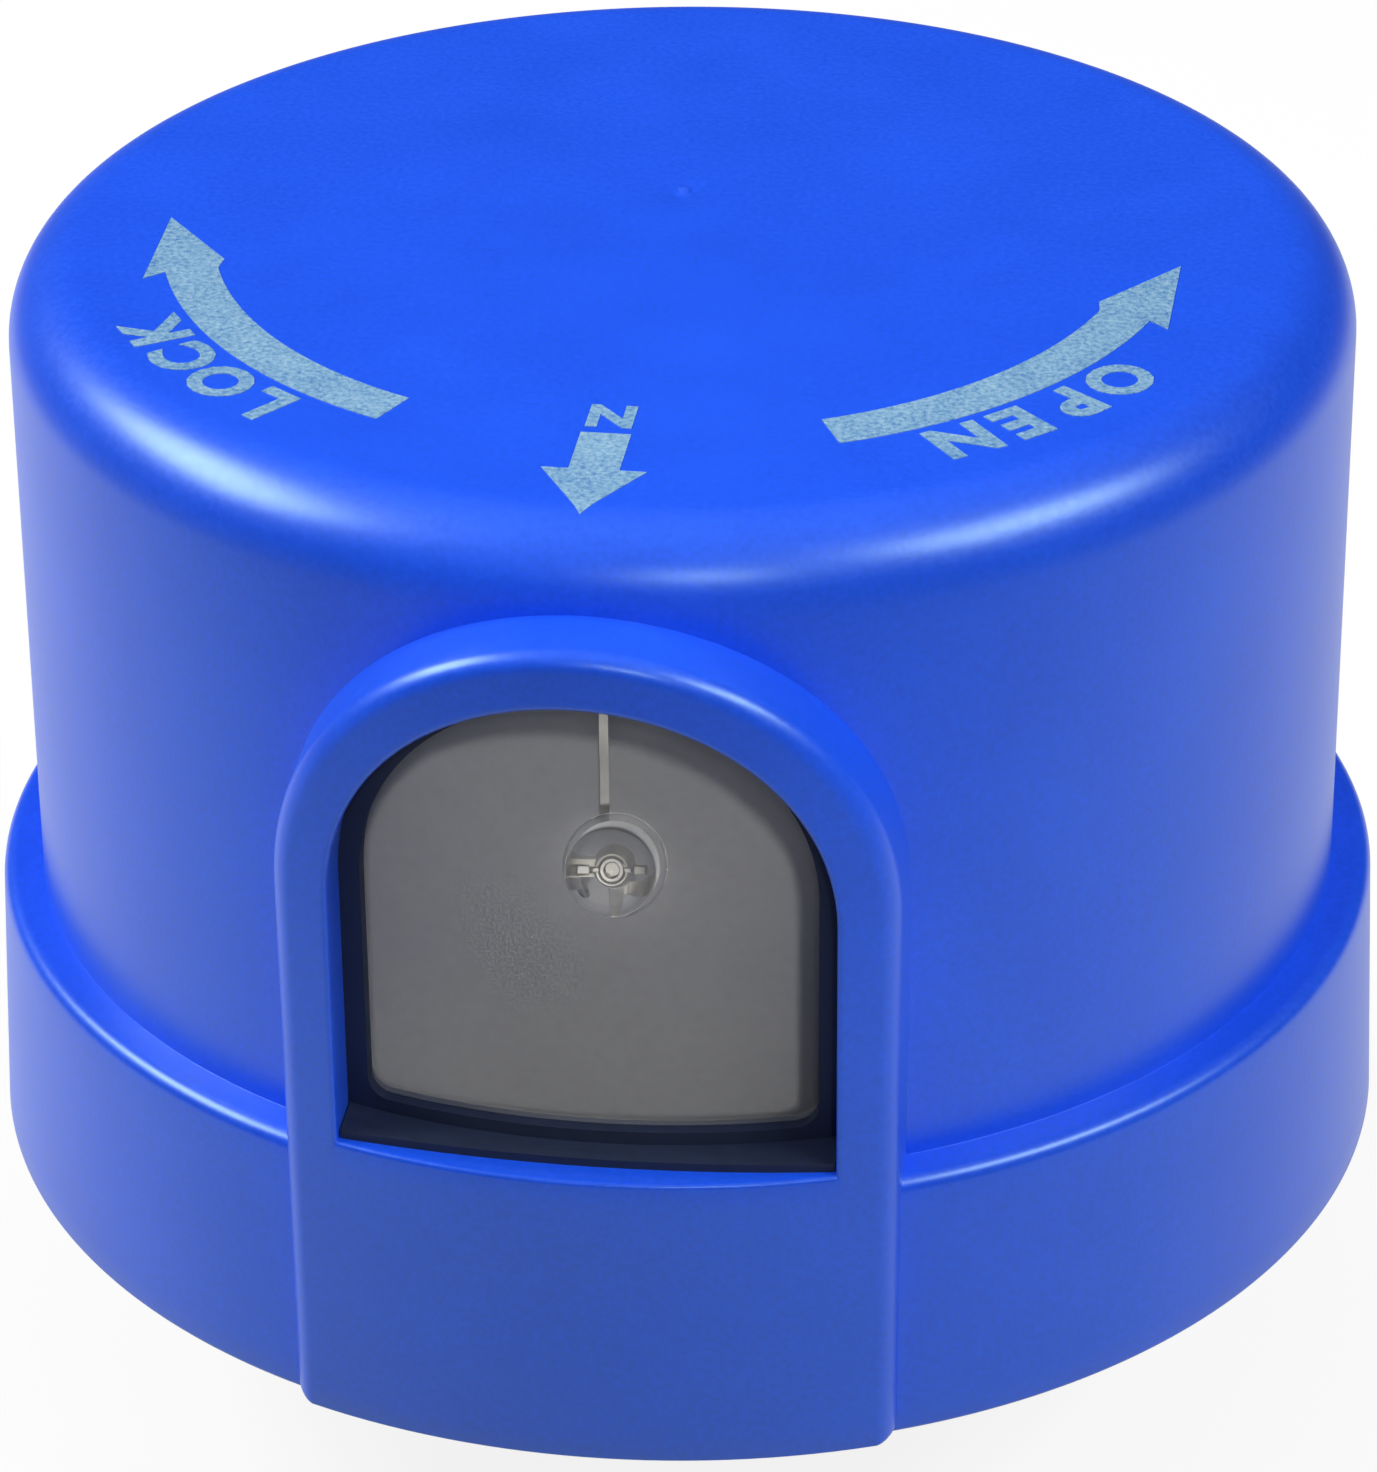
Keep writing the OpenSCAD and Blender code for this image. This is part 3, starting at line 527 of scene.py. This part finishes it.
def metal(name, dark, light, rough=(0.25, 0.4), grain=0.8):
    """Drawn or plated metal: streaks along Z and a varying polish."""
    n = Nodes(name)
    stretch = n.node("ShaderNodeMapping", Vector=n.coords, Scale=(1, 1, 0.12))
    noise = n.node("ShaderNodeTexNoise", Vector=stretch.outputs["Vector"], Scale=grain / MM, Detail=4.0)
    streaks = noise.outputs["Fac"]
    n.link(n.ramp(streaks, [(0.3, dark), (0.7, light)]), n.shader.inputs["Base Color"])
    n.link(n.scaled(streaks, *rough), n.shader.inputs["Roughness"])
    n.bump(streaks, 0.1, 0.01)
    n.shader.inputs["Metallic"].default_value = 1.0
    return n.material


def silver_print():
    """Silver ink, broken up where the grain of the moulding shows through."""
    n = Nodes("silver_print")
    speckle = n.noise(3.2, detail=3.0, rough=0.7)
    wear = n.math("MULTIPLY_ADD", n.noise(0.35), 0.25, speckle)
    stops = [
        (0.42, (0.06, 0.18, 0.48)),
        (0.54, (0.135, 0.3, 0.51)),
        (0.66, (0.22, 0.4, 0.59)),
        (0.85, (0.34, 0.52, 0.67)),
    ]
    n.link(n.ramp(wear, stops), n.shader.inputs["Base Color"])
    n.link(n.scaled(speckle, 0.35, 0.55), n.shader.inputs["Roughness"])
    n.bump(speckle, 0.2, 0.02)
    return n.material


def clear_pane():
    """A thin clear pane that lets the light through and keeps a faint gloss."""
    n = Nodes("lens_clear")
    haze = n.noise(0.08)
    n.link(n.scaled(haze, 0.03, 0.07), n.shader.inputs["Roughness"])
    n.link(n.ramp(haze, [(0.3, (0.86, 0.88, 0.88)), (0.7, (0.92, 0.93, 0.92))]), n.shader.inputs["Base Color"])
    n.shader.inputs["Alpha"].default_value = 0.07
    return n.material


def clear_epoxy():
    """Clear cast epoxy; light from the lamps passes straight in, so that the inside is lit."""
    n = Nodes("sensor_epoxy")
    n.link(n.ramp(n.noise(0.3), [(0.3, (0.95, 0.95, 0.96)), (0.7, (1, 1, 1))]), n.shader.inputs["Base Color"])
    n.shader.inputs["Roughness"].default_value = 0.02
    n.shader.inputs["Transmission Weight"].default_value = 0.92
    n.shader.inputs["IOR"].default_value = 1.5
    n.shader.inputs["Sheen Weight"].default_value = 1.0
    n.shader.inputs["Sheen Roughness"].default_value = 0.3
    path = n.node("ShaderNodeLightPath")
    clear = n.node("ShaderNodeBsdfTransparent")
    both = n.mix(path.outputs["Is Shadow Ray"], n.shader.outputs["BSDF"], clear.outputs["BSDF"])
    n.link(both, n.output.inputs["Surface"])
    return n.material


def make_materials():
    """One material for each of the record's slots, and one for the plated tips."""
    satin = dict(rough=(0.4, 0.55))
    return {
        "cover_plastic": moulded(
            "cover_plastic",
            (0.0055, 0.075, 0.765),
            (0.0105, 0.103, 0.945),
            rough=(0.3, 0.4),
            grain=2.8,
            depth=0.016,
            strength=0.4,
            Specular_IOR_Level=0.95,
            Specular_Tint=(0.62, 0.95, 1.0, 1),
            Sheen_Weight=0.05,
            Sheen_Roughness=0.4,
            Sheen_Tint=(0.5, 0.8, 1.0, 1),
        ),
        # The seal's blue tint is painted reflection: it stands in for blue light thrown onto the seal by the
        # frame round the recess.
        "seal_rubber": moulded("seal_rubber", (0.006, 0.014, 0.042), (0.011, 0.023, 0.066), rough=(0.6, 0.8)),
        "lens_clear": clear_pane(),
        "base_plastic": moulded("base_plastic", (0.02, 0.02, 0.022), (0.032, 0.032, 0.035), **satin),
        "gasket_foam": moulded(
            "gasket_foam",
            (0.035, 0.035, 0.038),
            (0.075, 0.075, 0.08),
            rough=(0.8, 0.95),
            grain=1.2,
            depth=0.15,
            strength=0.7,
        ),
        "blade_brass": metal("blade_brass", (0.62, 0.45, 0.17), (0.76, 0.57, 0.25)),
        "shield_plastic": moulded(
            "shield_plastic",
            (0.78, 0.775, 0.76),
            (0.86, 0.855, 0.84),
            rough=(0.6, 0.75),
            grain=1.6,
            strength=0.5,
        ),
        "board_laminate": moulded("board_laminate", (0.02, 0.13, 0.05), (0.03, 0.17, 0.07), rough=(0.25, 0.4)),
        "screw_steel": metal("screw_steel", (0.5, 0.5, 0.5), (0.68, 0.68, 0.66)),
        "sensor_epoxy": clear_epoxy(),
        "tinned_lead": metal("tinned_lead", (0.7, 0.67, 0.6), (0.85, 0.82, 0.74), rough=(0.25, 0.4)),
        "tip_plating": metal("tip_plating", (0.86, 0.82, 0.74), (0.95, 0.92, 0.85), rough=(0.36, 0.46)),
        "relay_case": moulded("relay_case", (0.025, 0.025, 0.028), (0.04, 0.04, 0.045), **satin),
        "film_case": moulded("film_case", (0.5, 0.34, 0.03), (0.6, 0.42, 0.05), rough=(0.25, 0.35)),
        "varistor_coat": moulded(
            "varistor_coat",
            (0.015, 0.06, 0.28),
            (0.025, 0.09, 0.36),
            rough=(0.2, 0.35),
            grain=0.6,
            depth=0.06,
        ),
        "can_sleeve": moulded("can_sleeve", (0.015, 0.015, 0.03), (0.025, 0.025, 0.045), rough=(0.2, 0.3)),
        "resistor_coat": moulded(
            "resistor_coat",
            (0.24, 0.29, 0.34),
            (0.32, 0.37, 0.42),
            rough=(0.5, 0.7),
            grain=0.9,
            depth=0.05,
        ),
        "device_epoxy": moulded("device_epoxy", (0.015, 0.015, 0.016), (0.028, 0.028, 0.03), **satin),
        "film_resistor_coat": moulded(
            "film_resistor_coat",
            (0.46, 0.31, 0.15),
            (0.55, 0.39, 0.2),
            rough=(0.3, 0.45),
        ),
        "line_insulation": moulded("line_insulation", (0.015, 0.015, 0.015), (0.03, 0.03, 0.03), **satin),
        "load_insulation": moulded("load_insulation", (0.3, 0.012, 0.01), (0.4, 0.02, 0.015), **satin),
        "neutral_insulation": moulded("neutral_insulation", (0.62, 0.62, 0.6), (0.72, 0.72, 0.69), **satin),
        "solder": metal("solder", (0.5, 0.5, 0.52), (0.66, 0.66, 0.67), rough=(0.15, 0.3)),
    }


def paint(obj, material):
    obj.data.materials.clear()
    obj.data.materials.append(material)


# Camera, floor and light


def make_camera():
    """The photograph's view: fitted to the cover's rims and the window's place in the frame."""
    wide_px, high_px = 1377, 1472
    elevation, azimuth, roll = 0.50719, math.radians(8.0), -0.009155
    distance, focal_px = 333.37, 5541.6
    centre_px = (686.16, 720.66)
    target = Vector((0, 0, 23.1035 + EDGE_Z)) * MM
    back = Vector(
        (
            math.sin(azimuth) * math.cos(elevation),
            -math.cos(azimuth) * math.cos(elevation),
            math.sin(elevation),
        )
    )
    right = Vector((math.cos(azimuth), math.sin(azimuth), 0))
    up = back.cross(right)
    turned_right = math.cos(roll) * right + math.sin(roll) * up
    turned_up = math.cos(roll) * up - math.sin(roll) * right
    data = bpy.data.cameras.new("camera")
    data.sensor_width = 36
    data.lens = focal_px / high_px * data.sensor_width
    data.shift_x = (wide_px / 2 - centre_px[0]) / high_px
    data.shift_y = (centre_px[1] - high_px / 2) / high_px
    data.clip_start, data.clip_end = 0.01, 20
    camera = place_object("camera", data)
    place = target + back * distance * MM
    camera.matrix_world = Matrix(
        (
            (turned_right.x, turned_up.x, back.x, place.x),
            (turned_right.y, turned_up.y, back.y, place.y),
            (turned_right.z, turned_up.z, back.z, place.z),
            (0, 0, 0, 1),
        )
    )
    bpy.context.scene.camera = camera


def make_floor():
    """A pale floor with the object's shadow: white round the object, with painted shade that makes it greyer
    far off, most of all in reflections.
    """
    size, reach, middle_y, shadow_share = 3000, 0.8, 0.11, 0.13
    points = [(x * size, y * size, FLOOR_Z) for x, y in ((-1, -1), (1, -1), (1, 1), (-1, 1))]
    floor = mesh_object("floor", points, [(0, 1, 2, 3)])
    n = Nodes("floor_paper")
    moved = n.node("ShaderNodeMapping", Vector=n.coords, Location=(0, -middle_y, 0))
    far = n.node("ShaderNodeVectorMath", Vector=moved.outputs["Vector"])
    far.operation = "LENGTH"
    away = n.scaled(far.outputs["Value"], 0, 1)
    away.node.inputs["From Max"].default_value = reach
    # Painted shade: the floor as seen turns greyer away from the object, as if the light fell off there, and
    # much darker in reflections.
    seen_direct_painted_fade = n.ramp(away, [(0.27, grey(1.0)), (0.45, grey(0.86)), (1.0, grey(0.78))])
    seen_in_gloss_painted_fade = n.ramp(away, [(0.27, grey(1.0)), (0.34, grey(0.3)), (1.0, grey(0.2))])
    bounced = n.ramp(away, [(0.25, grey(0.25)), (0.34, grey(0.18)), (1.0, grey(0.15))])
    n.link(bounced, n.shader.inputs["Base Color"])
    n.shader.inputs["Roughness"].default_value = 0.9
    n.shader.inputs["Specular IOR Level"].default_value = 0.1
    path = n.node("ShaderNodeLightPath").outputs
    tone = n.node("ShaderNodeMix")
    tone.data_type = "RGBA"
    n.link(path["Is Camera Ray"], tone.inputs[0])
    n.link(seen_in_gloss_painted_fade, tone.inputs[6])
    n.link(seen_direct_painted_fade, tone.inputs[7])
    white = n.node("ShaderNodeEmission", Color=tone.outputs[2], Strength=1.0)
    shade = n.node("ShaderNodeBsdfDiffuse", Color=tone.outputs[2])
    look = n.mix(shadow_share, white.outputs["Emission"], shade.outputs["BSDF"])
    seen = n.math("MAXIMUM", path["Is Camera Ray"], path["Is Transmission Ray"])
    seen = n.math("MAXIMUM", seen, path["Is Glossy Ray"])
    n.link(n.mix(seen, n.shader.outputs["BSDF"], look), n.output.inputs["Surface"])
    paint(floor, n.material)


def make_lamp(name, start, end, width, strength):
    """A softbox from start to end that faces the object; strength is its light per area, where 1 is white."""
    start, end = Vector(start), Vector(end)
    along = (end - start).normalized()
    middle = (start + end) / 2
    back = middle - Vector(LAMP_AIM)
    back = (back - along * back.dot(along)).normalized()
    across = back.cross(along)
    data = bpy.data.lights.new(name, "AREA")
    data.shape = "RECTANGLE"
    data.size, data.size_y = (end - start).length, width
    data.energy = strength * math.pi * data.size * width
    lamp = place_object(name, data)
    lamp.matrix_world = Matrix.Translation(middle) @ Matrix((along, across, back)).transposed().to_4x4()


def make_fill():
    """A small soft fill from the front for the inside of the window."""
    place, aim = Vector((0.12, -0.62, 0.42)), Vector((0, -0.03, 0.036))
    data = bpy.data.lights.new("window_fill", "SPOT")
    data.energy = 17.5
    data.spot_size, data.spot_blend = math.radians(3.0), 1.0
    data.shadow_soft_size = 0.03
    lamp = place_object("window_fill", data)
    turn = (aim - place).to_track_quat("-Z", "Y")
    lamp.matrix_world = Matrix.Translation(place) @ turn.to_matrix().to_4x4()


def make_light():
    """Two softboxes, the fill and a soft sky that is brightest overhead."""
    make_lamp("soft_left", (-0.46, 0.2, 0.43), (-0.48, -0.2, 0.44), 0.22, 13.0)
    make_lamp("soft_right", (0.53, 0.03, 0.42), (0.37, -0.34, 0.46), 0.16, 12.3)
    make_fill()
    world = bpy.data.worlds.new("studio")
    bpy.context.scene.world = world
    world.use_nodes = True
    tree = world.node_tree
    background = tree.nodes["Background"]
    background.inputs["Strength"].default_value = 1.0
    coords = tree.nodes.new("ShaderNodeTexCoord")
    split = tree.nodes.new("ShaderNodeSeparateXYZ")
    tree.links.new(coords.outputs["Generated"], split.inputs["Vector"])
    stops = [(0.0, grey(0.02)), (0.58, grey(0.04)), (0.8, grey(0.3)), (1.0, grey(0.54))]
    tree.links.new(colour_ramp(tree, split.outputs["Z"], stops), background.inputs["Color"])


# Build

materials = make_materials()
slot_of = {s["node"]: s["material_slot"] for s in frame["record"]["subparts"]}
for name, obj in frame["nodes"].items():
    paint(obj, materials[slot_of[name]])

cover = make_cover()
paint(cover, materials["cover_plastic"])
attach(cover, "root")
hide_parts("cover")

sensor = make_sensor()
paint(sensor, materials["sensor_epoxy"])
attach(sensor, "root")
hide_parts("photo_sensor")

tips = make_lead_tips()
paint(tips, materials["tip_plating"])
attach(tips, "root")

ink = silver_print()
for name, loop in (
    ("print_arrow_left", arc_arrow(-1)),
    ("print_arrow_right", arc_arrow(1)),
    ("print_arrow_front", straight_arrow(26.85, 31.2, 36.1, 1.36, 2.82)),
):
    mark = make_print(name, loop)
    paint(mark, ink)
    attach(mark, "root")
for name, word, r, start, step, size in (
    ("print_lock", "LOCK", 30.1, -36.5, -6.9, 4.6),
    ("print_open", "OPEN", 30.1, 57.5, -6.9, 4.6),
    ("print_north", "N", 23.6, 0, 0, 3.5),
):
    mark = make_word(name, word, r, start, step, size)
    paint(mark, ink)
    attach(mark, "root")

make_camera()
make_floor()
make_light()
bpy.context.scene.view_settings.view_transform = "Standard"
